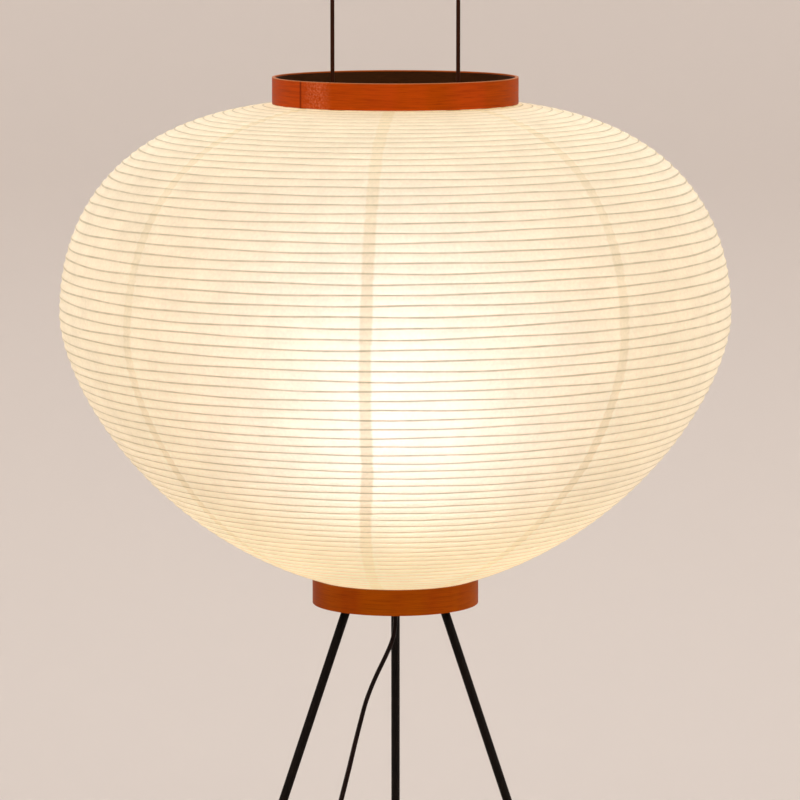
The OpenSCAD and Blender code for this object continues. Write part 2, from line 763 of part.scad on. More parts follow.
module switch_button() {
  head_z = flange_z + flange_t;
  color(black) at_switch() union() {
    translate([0, 0, head_z]) rotate_extrude($fn = 96) intersection() {
      translate([0, button_rise - dome_r]) circle(dome_r, $fn = 180);
      square([button_r, far]);
    }
    translate([0, 0, flange_z]) cylinder(r = button_r + flange_w, h = flange_t, $fn = 96);
    translate([0, 0, block_top + button_travel + seat])
      cylinder(r = peg_r, h = flange_z - block_top - button_travel, $fn = 48);
  }
}

// A wire spring as an unbroken chain of half turns, each tilted to meet the next
module switch_spring() {
  low = block_top + spring_wire_r;
  climb = (flange_z - 2 * spring_wire_r - block_top) / (2 * spring_turns);
  span = norm([2 * spring_r, climb]);
  color("silver") at_switch() union() {
    for (half = [0:2 * spring_turns - 1])
      translate([0, 0, low + climb * (half + 0.5)]) rotate([0, 0, 180 * (half % 2)])
        rotate([0, atan2(climb, 2 * spring_r), 0]) rotate_extrude(angle = 180, $fn = 48)
          translate([span / 2, 0]) circle(spring_wire_r, $fn = 16);
  }
}

module switch_block() {
  color([0.85, 0.8, 0.7]) at_switch() translate([-block_size[0] / 2, -block_size[1] / 2, base_t])
    cube(block_size);
}

module switch_screws() {
  head_t = 0.8;
  screw_l = 9;
  color("silver") at_switch() at_bosses(base_sink - 1 - head_t) {
    cylinder(r = base_screw_head_r, h = head_t, $fn = 32);
    cylinder(r = base_screw_r, h = screw_l, $fn = 32);
  }
}

relief_l = 20;
relief_x = coil_x + coil_end_l;
plug_x = relief_x + relief_l;

module plug_body() {
  shoulder = 8;
  nose = 3;
  color(black) translate([plug_x, plug_y, 0]) union() {
    linear_extrude(plug_t) polygon([[0, -plug_w / 2 + shoulder], [shoulder, -plug_w / 2],
      [plug_l - nose, -plug_w / 2], [plug_l, -plug_w / 2 + nose], [plug_l, plug_w / 2 - nose],
      [plug_l - nose, plug_w / 2], [shoulder, plug_w / 2], [0, plug_w / 2 - shoulder]]);
    translate([-relief_l, 0, plug_z]) rotate([0, 90, 0])
      cylinder(r1 = cord_w / 2 + 0.7, r2 = 5.4, h = relief_l + 1, $fn = 48);
  }
}

module plug_pins() {
  color("silver") for (side = [-1, 1]) translate([plug_x + plug_l, plug_y + side * pin_gap / 2, plug_z])
    rotate([0, 90, 0]) union() {
      cylinder(d = pin_d, h = pin_l - pin_d / 2, $fn = 48);
      translate([0, 0, pin_l - pin_d / 2]) sphere(d = pin_d, $fn = 48);
    }
}

echo(turns_of_the_rib = turns - 1, rib_gap = rib_gap, coil_gap = coil_gap);

hub();
leg(leg_turns[0]);  // leg_left
leg(leg_turns[1]);  // leg_right
leg(leg_turns[2]);  // leg_back
foot(leg_turns[0]);  // foot_left
foot(leg_turns[1]);  // foot_right
foot(leg_turns[2]);  // foot_back
upright_loop();
loop_nuts();
stem_tube();
stem_nuts();
stem_washers();
cord_grip();
inner_lead();
holder_cap();
holder_shell();
holder_insert();
thread_sleeve();
centre_contact();
terminals();
bulb_glass();
bulb_cap();
bulb_insulator();
bulb_contact();
bottom_ring();
bottom_lining();
hub_screws();
top_ring();
top_lining();
rim_arm(180);  // rim_arm_left
rim_arm(0);  // rim_arm_right
arm_screws();
paper_skin();
rib_spiral();
cord_drop();
switch_base();
switch_cover();
switch_button();
switch_spring();
switch_block();
switch_screws();
cord_tail();
cord_coil();
coil_tie();
plug_body();
plug_pins();
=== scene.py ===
"""Looks of the paper lantern floor lamp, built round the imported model.

The camera, the cords, the paper shade with its spiral rib, the finishes of every piece, and a plain
studio. All lengths are metres, +Z is up, the photographed front is -Y.
"""

import json
import logging
from dataclasses import dataclass, field
from enum import Enum
from math import cos, pi, radians, sin, tau
from typing import Any, Sequence

import bpy
import numpy as np
from mathutils import Matrix, Vector

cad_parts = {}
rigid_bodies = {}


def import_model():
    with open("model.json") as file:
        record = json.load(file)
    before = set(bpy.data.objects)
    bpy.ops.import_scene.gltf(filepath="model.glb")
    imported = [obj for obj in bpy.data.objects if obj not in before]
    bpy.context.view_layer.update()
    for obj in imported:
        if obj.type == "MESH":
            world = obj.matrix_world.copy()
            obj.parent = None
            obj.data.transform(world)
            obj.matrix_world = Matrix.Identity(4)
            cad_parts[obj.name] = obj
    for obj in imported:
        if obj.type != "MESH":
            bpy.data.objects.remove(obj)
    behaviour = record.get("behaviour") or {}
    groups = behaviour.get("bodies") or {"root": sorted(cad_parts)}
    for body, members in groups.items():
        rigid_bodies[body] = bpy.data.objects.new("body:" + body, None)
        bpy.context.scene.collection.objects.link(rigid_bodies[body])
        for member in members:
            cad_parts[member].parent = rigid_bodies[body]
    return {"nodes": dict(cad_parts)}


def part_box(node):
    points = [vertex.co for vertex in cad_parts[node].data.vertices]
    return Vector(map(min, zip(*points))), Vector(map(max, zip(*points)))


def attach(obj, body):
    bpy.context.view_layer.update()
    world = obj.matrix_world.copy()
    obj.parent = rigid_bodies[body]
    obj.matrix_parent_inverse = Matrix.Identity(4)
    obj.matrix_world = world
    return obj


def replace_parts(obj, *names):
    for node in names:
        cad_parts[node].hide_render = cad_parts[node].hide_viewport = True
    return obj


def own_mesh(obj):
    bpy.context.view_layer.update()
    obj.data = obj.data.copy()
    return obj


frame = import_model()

LOG = logging.getLogger("lamp")
MM = 0.001
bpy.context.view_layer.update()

# The coil's centre and the height of the plug's middle, in millimetres
COIL_CENTRE = (-130.0, -130.0)
PLUG_Z = 6.8

Points = np.ndarray
Colour = tuple[float, float, float, float]
Tree = bpy.types.NodeTree
Piece = bpy.types.Object


# ---------------- small helpers


def linear(code: str) -> Colour:
    """Turns an sRGB hex colour into the linear colour that the renderer uses.

    Args:
        code: six hex digits after a hash, such as "#b4430e".

    Returns:
        Linear red, green and blue, and an alpha of 1.
    """
    parts = np.array([int(code[i : i + 2], 16) for i in (1, 3, 5)]) / 255
    lit = np.where(parts <= 0.04045, parts / 12.92, ((parts + 0.055) / 1.055) ** 2.4)
    return (float(lit[0]), float(lit[1]), float(lit[2]), 1.0)


def feed(node: Any, inputs: dict[Any, Any]) -> None:
    """Sets a node's inputs, by name or number, or links them where the value is an output socket."""
    for key, value in inputs.items():
        if isinstance(value, bpy.types.NodeSocket):
            node.id_data.links.new(value, node.inputs[key])
        else:
            node.inputs[key].default_value = value


def add(
    tree: Tree,
    kind: str,
    inputs: dict[Any, Any] | None = None,
    stops: Sequence[tuple[float, Colour]] = (),
    **settings: Any,
) -> Any:
    """Adds one shader node with its settings and its links.

    Args:
        tree: the material's node tree.
        kind: the node's type name without its ShaderNode prefix.
        inputs: what feed is given.
        stops: the place and colour of each of a ramp's stops, in order.
        settings: the node's own properties.

    Returns:
        The node's outputs.
    """
    made = tree.nodes.new("ShaderNode" + kind)
    for name, value in settings.items():
        setattr(made, name, value)
    feed(made, inputs or {})
    while stops and len(made.color_ramp.elements) < len(stops):
        made.color_ramp.elements.new(0.5)
    for number, (place, colour) in enumerate(stops):
        made.color_ramp.elements[number].position = place
        made.color_ramp.elements[number].color = colour
    return made.outputs


def distance(tree: Tree, value: Any, middle: float) -> Any:
    """Works out |value - middle| for a socket, as a socket."""
    off = add(tree, "Math", {0: value, 1: middle}, operation="SUBTRACT")[0]
    return add(tree, "Math", {0: off}, operation="ABSOLUTE")[0]


def grey(value: float) -> Colour:
    """Gives the grey of that linear value."""
    return (value, value, value, 1.0)


def unit(v: Points) -> Points:
    """Scales each row of v to length 1."""
    return v / np.maximum(np.linalg.norm(v, axis=-1, keepdims=True), 1e-12)


def mesh_object(
    name: str, co: Points, faces: Points, uv: Points | None = None, smooth: bool = True
) -> Piece:
    """Makes a mesh object at the origin from whole arrays.

    Args:
        name: the piece's name.
        co: the points, n by 3.
        faces: the faces' point numbers, m by 3 or 4.
        uv: a UV pair for every corner of every face, in the faces' order.
        smooth: whether the faces are shaded smooth.

    Returns:
        The object.
    """
    mesh = bpy.data.meshes.new(name)
    count, sides = faces.shape
    mesh.vertices.add(len(co))
    mesh.vertices.foreach_set("co", np.ascontiguousarray(co, np.float32).ravel())
    mesh.loops.add(count * sides)
    mesh.loops.foreach_set("vertex_index", np.ascontiguousarray(faces, np.int32).ravel())
    mesh.polygons.add(count)
    mesh.polygons.foreach_set("loop_start", np.arange(0, count * sides, sides, dtype=np.int32))
    mesh.polygons.foreach_set("use_smooth", np.full(count, smooth))
    if uv is not None:
        layer = mesh.uv_layers.new(name="UVMap")
        layer.data.foreach_set("uv", np.ascontiguousarray(uv, np.float32).ravel())
    mesh.update(calc_edges=True)
    mesh.validate()
    made = bpy.data.objects.new(name, mesh)
    bpy.context.scene.collection.objects.link(made)
    return made


def tube(rings: Points) -> tuple[Points, Points]:
    """Skins a tube through rings of points and closes each end by a fan round the ring's middle.

    Args:
        rings: n rings of k points, n by k by 3, which run clockwise as seen along the tube's way
            so that the faces point outwards.

    Returns:
        The points and the triangles.
    """
    n, k = rings.shape[:2]
    i, j = np.meshgrid(np.arange(n - 1), np.arange(k), indexing="ij")
    a, b = i * k + j, i * k + (j + 1) % k
    tri = np.concatenate([np.stack([a, b, b + k], -1), np.stack([a, b + k, a + k], -1)]).reshape(-1, 3)
    co = np.concatenate([rings.reshape(-1, 3), rings[[0, -1]].mean(1)])
    j = np.arange(k)
    first = np.stack([np.full(k, n * k), (j + 1) % k, j], -1)
    last = np.stack([np.full(k, n * k + 1), (n - 1) * k + j, (n - 1) * k + (j + 1) % k], -1)
    return co, np.concatenate([tri, first, last])


def wound(line: Points, turn: Points, deep: float, wide: float, sides: int = 6) -> tuple[Points, Points]:
    """Carries an ellipse along a line that winds anticlockwise round an upright axis.

    Its section is (deep cos a, wide sin a), with the depth square to the line and away from the axis.

    Args:
        line: the line's points, in metres.
        turn: the angle round the axis at each point, in radians.
        deep: half the section's depth.
        wide: half its width.
        sides: the number of points to a section.

    Returns:
        The points and the triangles.
    """
    k = np.arange(sides) * tau / sides
    way = unit(np.gradient(line, axis=0))
    out = unit(np.stack([np.cos(turn), np.sin(turn), 0 * turn], -1))
    rise = np.cross(way, out)
    out = np.cross(rise, way)
    rings = line[:, None] + out[:, None] * (deep * np.cos(k))[:, None]
    rings += rise[:, None] * (wide * np.sin(k))[:, None]
    return tube(rings[:, ::-1])


def lathe(profile: Points, sides: int) -> tuple[Points, Points]:
    """Turns a profile of (radius, height) pairs round the Z axis.

    Args:
        profile: the pairs, drawn so that the outside lies on the right of their way upwards.
        sides: the number of steps round the axis.

    Returns:
        The points and the quads, with the last column joined to the first.
    """
    turn = np.arange(sides) * tau / sides
    r, z = profile.T
    co = np.stack([np.outer(np.cos(turn), r), np.outer(np.sin(turn), r), np.tile(z, (sides, 1))], -1)
    i, j = np.meshgrid(np.arange(sides), np.arange(len(r) - 1), indexing="ij")
    a, b = i * len(r) + j, (i + 1) % sides * len(r) + j
    return co.reshape(-1, 3), np.stack([a, b, b + 1, a + 1], -1).reshape(-1, 4)


def flowing(route: Points, steps: int) -> Points:
    """Draws a smooth curve through the route's points.

    Between two points b and c with neighbours a and d it is a cubic with the slopes (c - a) / 2 at b
    and (d - b) / 2 at c, so its middle is (9b + 9c - a - d) / 16.

    Args:
        route: the points, n by 3.
        steps: the number of steps between each two points.

    Returns:
        The curve's points, the route's own among them.
    """
    p = np.concatenate([route[:1], route, route[-1:]])
    t = np.linspace(0, 1, steps, endpoint=False)[None, :, None]
    a, b, c, d = (p[k : len(p) - 3 + k, None] for k in range(4))
    curve = b + 0.5 * t * (c - a + t * (2 * a - 5 * b + 4 * c - d + t * (3 * (b - c) + d - a)))
    return np.concatenate([curve.reshape(-1, 3), route[-1:]])


# ---------------- finishes


class Grain(Enum):
    """The way in which a finish's marks run."""

    EVEN = (1.0, 1.0, 1.0)
    LEVEL = (1.0, 1.0, 40.0)


@dataclass(frozen=True)
class Finish:
    """A finish whose colour and roughness wander between two values, with a fine grain in relief.

    Attributes:
        name: the material's name.
        colour: the sRGB hex colour of most of the surface.
        other: the sRGB hex colour of its marks.
        rough: the lowest and highest roughness.
        metallic: 1 for bare metal.
        ior: the index of refraction; a metal keeps the default.
        shine: the level of the mirror-like reflection, 0.5 as a clean surface has it.
        coat: the weight of a clear coat.
        mark_mm: the size of the marks.
        grain_mm: the size of the grain in relief.
        relief_mm: the height of the grain.
        grain: the way in which the marks run.
    """

    name: str
    colour: str
    other: str
    rough: tuple[float, float] = (0.4, 0.5)
    metallic: float = 0.0
    ior: float = 1.5
    shine: float = 0.5
    coat: float = 0.0
    mark_mm: float = 12.0
    grain_mm: float = 0.8
    relief_mm: float = 0.02
    grain: Grain = Grain.EVEN

    def material(self) -> bpy.types.Material:
        """Makes the material, or gives the one already made."""
        if self.name in bpy.data.materials:
            return bpy.data.materials[self.name]
        made = bpy.data.materials.new(self.name)
        made.use_nodes = True
        tree = made.node_tree
        tree.nodes.clear()
        surface = add(tree, "BsdfPrincipled", {"Metallic": self.metallic, "Coat Weight": self.coat})[0]
        add(tree, "OutputMaterial", {"Surface": surface})
        shader = surface.node
        if not self.metallic:
            feed(shader, {"IOR": self.ior, "Specular IOR Level": self.shine})
        self.dress(shader)
        return made

    def dress(self, shader: Any) -> None:
        """Links the marks, the roughness and the relief into the shader.

        Args:
            shader: the material's Principled node.
        """
        tree = shader.id_data
        place = add(tree, "TexCoord")["Object"]
        place = add(tree, "Mapping", {"Vector": place, "Scale": self.grain.value})[0]
        marks = add(tree, "TexNoise", {"Vector": place, "Scale": 1 / (self.mark_mm * MM), "Detail": 5.0})
        tones = [(0.35, linear(self.colour)), (0.7, linear(self.other))]
        tone = add(tree, "ValToRGB", {"Fac": marks["Fac"]}, stops=tones)[0]
        feed(shader, {"Base Color": tone})
        fine = add(tree, "TexNoise", {"Vector": place, "Scale": 1 / (self.grain_mm * MM), "Detail": 3.0})
        self.relief(shader, fine["Fac"], 0.6)

    def relief(self, shader: Any, height: Any, strength: float) -> None:
        """Links a height into the shader as relief, and makes its heights rougher than its depths.

        Args:
            shader: the material's Principled node.
            height: a socket, mostly between 0.3 and 0.7.
            strength: the strength of the relief.
        """
        tree = shader.id_data
        low, high = self.rough
        spread = {"Value": height, 1: 0.3, 2: 0.7, "To Min": low, "To Max": high}
        raised = {"Height": height, "Strength": strength, "Distance": self.relief_mm * MM}
        feed(shader, {"Roughness": add(tree, "MapRange", spread)[0], "Normal": add(tree, "Bump", raised)[0]})


@dataclass(frozen=True)
class Threaded(Finish):
    """Plated steel with a screw thread round an upright axis, of that pitch and depth."""

    pitch_mm: float = 1.0
    depth_mm: float = 0.4

    def dress(self, shader: Any) -> None:
        """Adds the thread in relief: bands along Z, one to a pitch; a scale of pi / 10 is one to a metre.

        Args:
            shader: the material's Principled node.
        """
        super().dress(shader)
        tree = shader.id_data
        place = add(tree, "TexCoord")["Object"]
        bands = {"Vector": place, "Scale": pi / 10 / (self.pitch_mm * MM), "Distortion": 0.0}
        wave = add(tree, "TexWave", bands, bands_direction="Z")["Fac"]
        bump = add(tree, "Bump", {"Height": wave, "Strength": 0.8, "Distance": self.depth_mm * MM})[0]
        feed(shader, {"Normal": bump})


@dataclass(frozen=True)
class StainedVeneer(Finish):
    """Bent veneer with an orange-brown stain: level grain, redder tone bands and a satin lacquer.

    The other colour is that of the redder bands. A pair in millimetres is the length and the height
    of one mark.

    Attributes:
        pore: the sRGB hex colour of the dark pores.
        edge: the sRGB hex colour of the upper edge, partly wear and partly a painted highlight.
        scuff_and_highlight: the sRGB hex colour of the patch beside the lap's end, partly scuffing and
            partly a painted highlight.
        rim_z: the height of the ring's upper edge, in metres.
        lap_deg: the bearing of the lap's end, from the front towards +X.
        scuff_and_highlight_at: the turn from the lap's end to that patch's middle, in radians.
        speck_mm: the size of one speck in that patch.
        band_mm, streak_mm, pore_mm: the sizes of the tone bands, the grain's streaks and the pores.
    """

    pore: str = "#6c2204"
    edge: str = "#b07040"
    scuff_and_highlight: str = "#d2744e"
    rim_z: float = 0.9627
    lap_deg: float = -49.0
    scuff_and_highlight_at: float = 0.17
    speck_mm: float = 1.6
    band_mm: tuple[float, float] = (30.0, 200.0)
    streak_mm: tuple[float, float] = (30.0, 1.1)
    pore_mm: tuple[float, float] = (12.0, 0.4)

    def dress(self, shader: Any) -> None:
        """Lays the tone bands, the streaks, then pores, the scuffing with a painted highlight beside the
        lap's end, the lap's dark line and the upper edge's wear with a painted highlight.

        Args:
            shader: the material's Principled node.
        """
        tree = shader.id_data
        place = add(tree, "TexCoord")["Object"]
        noises = []
        kinds = ((self.band_mm, 2.0, 0.5), (self.streak_mm, 6.0, 0.62), (self.pore_mm, 2.0, 0.5))
        for (long, high), detail, rough in kinds:
            scale = (1 / (long * MM), 1 / (long * MM), 1 / (high * MM))
            cell = add(tree, "Mapping", {"Vector": place, "Scale": scale})[0]
            noise = {"Vector": cell, "Scale": 1.0, "Detail": detail, "Roughness": rough}
            noises.append(add(tree, "TexNoise", noise)["Fac"])
        bands, streaks, pores = noises
        speck_noise = add(tree, "TexNoise", {"Vector": place, "Scale": 1 / (self.speck_mm * MM), "Detail": 4.0})
        turn = self.from_lap(tree, place)
        aside = distance(tree, turn, 0.0)
        near = distance(tree, turn, self.scuff_and_highlight_at)
        up = add(tree, "SeparateXYZ", {"Vector": place})[2]

        # each mark: what it follows, the value where it starts, the value where it is full, its strength
        marks = (
            (aside, 0.8, 0.1, 0.3),
            (pores, 0.6, 0.72, 0.5),
            # the patch beside the lap's end and its specks: scuffing and a painted highlight
            (near, 0.16, 0.04, 1.0),
            (speck_noise["Fac"], 0.38, 0.7, 0.6),
            (aside, 0.014, 0.007, 0.8),
            # the upper edge: wear and a painted highlight
            (up, self.rim_z - 0.7 * MM, self.rim_z - 0.3 * MM, 0.7),
        )
        beside, pore, near, spots, line, worn_edge_and_highlight = (
            add(tree, "MapRange", {"Value": value, 1: start, 2: full, "To Max": most})[0]
            for value, start, full, most in marks
        )
        # scuffing and a painted highlight, in specks beside the lap's end
        scuffs_and_highlight = add(tree, "Math", {0: near, 1: spots}, operation="MULTIPLY")[0]

        bands = add(tree, "Math", {0: bands, 1: beside}, operation="ADD")[0]
        tones = [(0.42, linear(self.colour)), (0.7, linear(self.other))]
        base = add(tree, "ValToRGB", {"Fac": bands}, stops=tones)[0]
        shades = [(0.3, grey(0.74)), (0.52, grey(1.0)), (0.75, grey(1.16))]
        shade = add(tree, "ValToRGB", {"Fac": streaks}, stops=shades)[0]
        both = {"Factor": 1.0, 6: base, 7: shade}
        tinted = add(tree, "Mix", both, data_type="RGBA", blend_type="MULTIPLY")[2]
        # layers: pores, the patch of scuffing and painted highlight, the lap's line, and the upper edge's
        # wear and painted highlight
        layers = ((pore, self.pore), (scuffs_and_highlight, self.scuff_and_highlight), (line, self.pore), (worn_edge_and_highlight, self.edge))
        for share, code in layers:
            layer = {"Factor": share, 6: tinted, 7: linear(code)}
            tinted = add(tree, "Mix", layer, data_type="RGBA")[2]
        feed(shader, {"Base Color": tinted})
        self.relief(shader, streaks, 0.5)

    def from_lap(self, tree: Tree, place: Any) -> Any:
        """Works out the turn from the lap's end towards +X.

        Args:
            tree: the material's node tree.
            place: the point on the wood.

        Returns:
            A socket in radians, 0 at the lap's end and up to half a turn on each side.
        """
        split = add(tree, "SeparateXYZ", {"Vector": place})
        back = add(tree, "Math", {0: split[1], 1: -1.0}, operation="MULTIPLY")[0]
        bearing = add(tree, "Math", {0: split[0], 1: back}, operation="ARCTAN2")[0]
        turn = add(tree, "Math", {0: bearing, 1: radians(self.lap_deg)}, operation="SUBTRACT")[0]
        return add(tree, "Math", {0: turn, 1: pi, 2: -pi}, operation="WRAP")[0]


@dataclass(frozen=True)
class LitPaper(Finish):
    """Thin long-fibred paper with a lamp behind it.

    The UV map's V counts turns of the rib, so that a rib lies at every half, and its U counts turns
    round the axis. The other colour is the rib's painted shade on the sheet, the marks are clouds,
    and the grain and the relief are the fibres'.

    Attributes:
        painted_rib_shadow: the sRGB hex colour of the rib's painted shadow, by which it tints the painted
            glow.
        lap_glow: the factors by which two lapped sheets tint the painted glow.
        lap_base: the sRGB hex colour by which they tint the sheet.
        turns, pitch_mm: the rib's turns from edge to edge, and the distance between them.
        rib_mm: half the rib's painted shadow, with and without its soft edge.
        uneven_mm: the length of its stronger and weaker stretches.
        gores, lap_mm: the number of gores, and the width of their laps.
        lap_soft_mm: how far a lap's soft edge reaches out and in.
        lap_step_mm: how far it steps in at most at a turn of the rib.
        lap_way: the laps' place in gores at each share of the way up.
        through: the share of light that goes straight through one sheet, and through two.
        glow: the sRGB hex colour of the painted glow at each share of the way up.
    """

    painted_rib_shadow: str = "#d8ccc4"
    lap_glow: Colour = (1.12, 1.16, 1.22, 1.0)
    lap_base: str = "#e7e0d6"
    turns: float = 71.0
    pitch_mm: float = 8.0
    rib_mm: tuple[float, float] = (0.9, 0.35)
    gores: float = 8.0
    lap_mm: float = 9.0
    lap_soft_mm: tuple[float, float] = (1.4, 0.8)
    lap_step_mm: float = 0.8
    lap_way: tuple[tuple[float, float], ...] = (
        (0.0, 0.76), (0.12, 0.7), (0.35, 0.616), (0.6, 0.601), (0.85, 0.59), (1.0, 0.56),
    )
    through: tuple[float, float] = (0.5, 0.24)
    uneven_mm: float = 12.0
    glow: tuple[tuple[float, str], ...] = (
        (0.0, "#c2aa77"), (0.12, "#c1aa79"), (0.3, "#a8936e"), (0.5, "#a7946f"), (0.75, "#a38e67"),
        (1.0, "#a78d59"),
    )

    def dress(self, shader: Any) -> None:
        """Works out the painted glow and the sheet, each as its own colour x laps x (clouds, or the rib's
        painted shadow on a rib).

        Args:
            shader: the material's Principled node.
        """
        tree = shader.id_data
        uv = add(tree, "UVMap", uv_map="UVMap")[0]
        across, along, _ = add(tree, "SeparateXYZ", {"Vector": uv})
        whole = add(tree, "Math", {0: across, 1: along}, operation="ADD")[0]
        share = add(tree, "Math", {0: whole, 1: 1 / self.turns}, operation="MULTIPLY")[0]
        # the painted glow: its colour set by the share of the way up, for the bulb's light through the paper
        stops = [(at, linear(code)) for at, code in self.glow]
        height = add(tree, "ValToRGB", {"Fac": share}, stops=stops)[0]

        place = add(tree, "TexCoord")["Object"]
        kinds = ((self.mark_mm, 6.0, 0.6), (self.grain_mm, 4.0, 0.5), (self.uneven_mm, 2.0, 0.5))
        clouds, fibres, uneven = (
            add(
                tree,
                "TexNoise",
                {"Vector": place, "Scale": 1 / (size * MM), "Detail": detail, "Roughness": rough},
            )["Fac"]
            for size, detail, rough in kinds
        )
        mixed = add(tree, "Mix", {"Factor": 0.4, 2: clouds, 3: fibres})[0]
        pales = [(0.36, grey(0.9)), (0.64, grey(1.05))]
        pale = add(tree, "ValToRGB", {"Fac": mixed}, stops=pales)[0]

        # the rib's painted shadow has soft edges and is stronger and weaker along its way
        turn = add(tree, "Math", {0: along}, operation="FRACT")[0]
        off = distance(tree, turn, 0.5)
        outer, inner = (half / self.pitch_mm for half in self.rib_mm)
        edge = {"Value": off, 1: outer, 2: inner}
        rib = add(tree, "MapRange", edge, interpolation_type="SMOOTHSTEP")[0]
        varied = {"Value": uneven, 1: 0.3, 2: 0.7, "To Min": 0.55, "To Max": 1.0}
        strength = add(tree, "MapRange", varied)[0]
        rib = add(tree, "Math", {0: rib, 1: strength}, operation="MULTIPLY")[0]

        # the gores' laps: two sheets thick, so their painted glow is brighter and less light comes straight
        # through
        lap = self.lap(tree, place, across, along, share)
        # the painted glow and the sheet's colour, each darkened where the rib's painted shadow falls
        tints = (
            ("Emission Color", height, self.painted_rib_shadow, self.lap_glow),
            ("Base Color", linear(self.colour), self.other, linear(self.lap_base)),
        )
        for target, tint, ribbed, twice in tints:
            sheet = add(tree, "Mix", {"Factor": rib, 6: pale, 7: linear(ribbed)}, data_type="RGBA")
            for part, factor in ((lap, twice), (1.0, tint)):
                both = {"Factor": part, 6: sheet[2], 7: factor}
                sheet = add(tree, "Mix", both, data_type="RGBA", blend_type="MULTIPLY")
            feed(shader, {target: sheet[2]})
        single, double = self.through
        through = add(tree, "MapRange", {"Value": lap, "To Min": single, "To Max": double})[0]
        bump = add(tree, "Bump", {"Height": fibres, "Strength": 0.4, "Distance": self.relief_mm * MM})[0]
        feed(shader, {"Emission Strength": 1.0, "Roughness": self.rough[0]})
        feed(shader, {"Transmission Weight": through, "Normal": bump})

    def lap(self, tree: Tree, place: Any, across: Any, along: Any, share: Any) -> Any:
        """Works out where the gores lap: once a gore, drifting from top to foot.

        The distance from a lap's middle is the turn from it times the radius, so that the lap is as
        wide at the rings as at the belly. Its edges step a little at every turn of the rib.

        Args:
            tree: the material's node tree.
            place: the point on the paper.
            across: turns round the axis.
            along: turns of the rib.
            share: the share of the way up the paper.

        Returns:
            A socket from 0 to 1.
        """
        stops = [(at, grey(gore)) for at, gore in self.lap_way]
        drift = add(tree, "ValToRGB", {"Fac": share}, stops=stops)[0]
        moved = add(tree, "Math", {0: across, 1: self.gores, 2: drift}, operation="MULTIPLY_ADD")[0]
        gore = add(tree, "Math", {0: moved}, operation="FRACT")[0]
        off = distance(tree, gore, 0.5)
        flat = add(tree, "VectorMath", {0: place, 1: (1, 1, 0)}, operation="MULTIPLY")[0]
        radius = add(tree, "VectorMath", {0: flat}, operation="LENGTH")["Value"]
        arc = add(tree, "Math", {0: radius, 1: tau / self.gores / MM}, operation="MULTIPLY")[0]
        away = add(tree, "Math", {0: off, 1: arc}, operation="MULTIPLY")[0]
        number = add(tree, "Math", {0: along}, operation="FLOOR")[0]
        jitter = add(tree, "TexWhiteNoise", {"W": number}, noise_dimensions="1D")["Value"]
        step = {0: jitter, 1: self.lap_step_mm, 2: away}
        away = add(tree, "Math", step, operation="MULTIPLY_ADD")[0]
        out, back = self.lap_soft_mm
        edge = {"Value": away, 1: self.lap_mm / 2 + out, 2: self.lap_mm / 2 - back}
        return add(tree, "MapRange", edge, interpolation_type="SMOOTHSTEP")[0]


@dataclass(frozen=True)
class OpalGlass(Finish):
    """An etched opal globe that glows evenly.

    Attributes:
        neck: a height in metres, and the glow's sRGB hex colour below it.
        globe: a height in metres, and the glow's sRGB hex colour above it.
        strength: the strength of the glow.
    """

    neck: tuple[float, str] = (0.665, "#ffe6c0")
    globe: tuple[float, str] = (0.7, "#dbe1f7")
    strength: float = 9.0

    def dress(self, shader: Any) -> None:
        """Adds the glow to the plain finish: white on the globe and warmer at its neck.

        Args:
            shader: the material's Principled node.
        """
        super().dress(shader)
        tree = shader.id_data
        place = add(tree, "TexCoord")["Object"]
        split = add(tree, "SeparateXYZ", {"Vector": place})
        (low, warm), (high, white) = self.neck, self.globe
        up = add(tree, "MapRange", {"Value": split[2], 1: low, 2: high})[0]
        stops = [(0.0, linear(warm)), (1.0, linear(white))]
        glow = add(tree, "ValToRGB", {"Fac": up}, stops=stops)[0]
        feed(shader, {"Emission Color": glow, "Emission Strength": self.strength})


# Satin black stoving enamel on steel rod and sheet: near black, faintly brown, with a soft sheen
BLACK_ENAMEL = Finish(
    "black_enamel_sprayed", "#0a0503", "#120a06", (0.4, 0.52), shine=0.08, mark_mm=20, grain_mm=1.5
)
# The same enamel on drawn wire, in a copy with painted light: a dark brown, lighter and warmer than the
# legs' near black
WIRE_ENAMEL = Finish(
    "brown_black_enamel_dipped", "#341506", "#261005", (0.4, 0.52), shine=0.06, mark_mm=25, grain_mm=1.2
)
# Beech veneer, steam bent, stained orange-brown and lacquered: level grain and a satin gloss
STAINED_BEECH = StainedVeneer(
    "beech_veneer_stained", "#a54000", "#b04008", (0.38, 0.52), shine=0.03, relief_mm=0.05
)
# The same veneer on the lower ring, with its lap's end at the back, in a copy whose tones hold painted
# shade: darker, as less light reaches under the shade's belly
STAINED_BEECH_SHADED = StainedVeneer(
    "beech_veneer_stained_shaded", "#a94e00", "#a04204", (0.38, 0.52), shine=0.03, relief_mm=0.05,
    rim_z=0.5656, lap_deg=160.0,
)
# Veneer of the rings' inner side, dyed nearly black and left dull
DYED_VENEER = Finish(
    "veneer_dyed_dark", "#381c06", "#221002", (0.55, 0.7), shine=0.05, mark_mm=6, grain_mm=0.5,
    relief_mm=0.04, grain=Grain.LEVEL,
)
# Mulberry paper, hand laid and uncoated, with a painted glow for the bulb's light behind it and the rib's
# painted shadow: warm white with clouds and fibres
MULBERRY_PAPER = LitPaper(
    "mulberry_paper_lit", "#cfcdc8", "#c0cac2", (0.95, 0.95), ior=1.75, shine=0.2, mark_mm=30,
    grain_mm=2.5, relief_mm=0.15,
)
# Bamboo split to a thin strip: straw brown with long paler and darker fibres
SPLIT_BAMBOO = Finish(
    "bamboo_split", "#a8824e", "#7d5a30", (0.45, 0.6), mark_mm=3, grain_mm=0.4, relief_mm=0.05
)
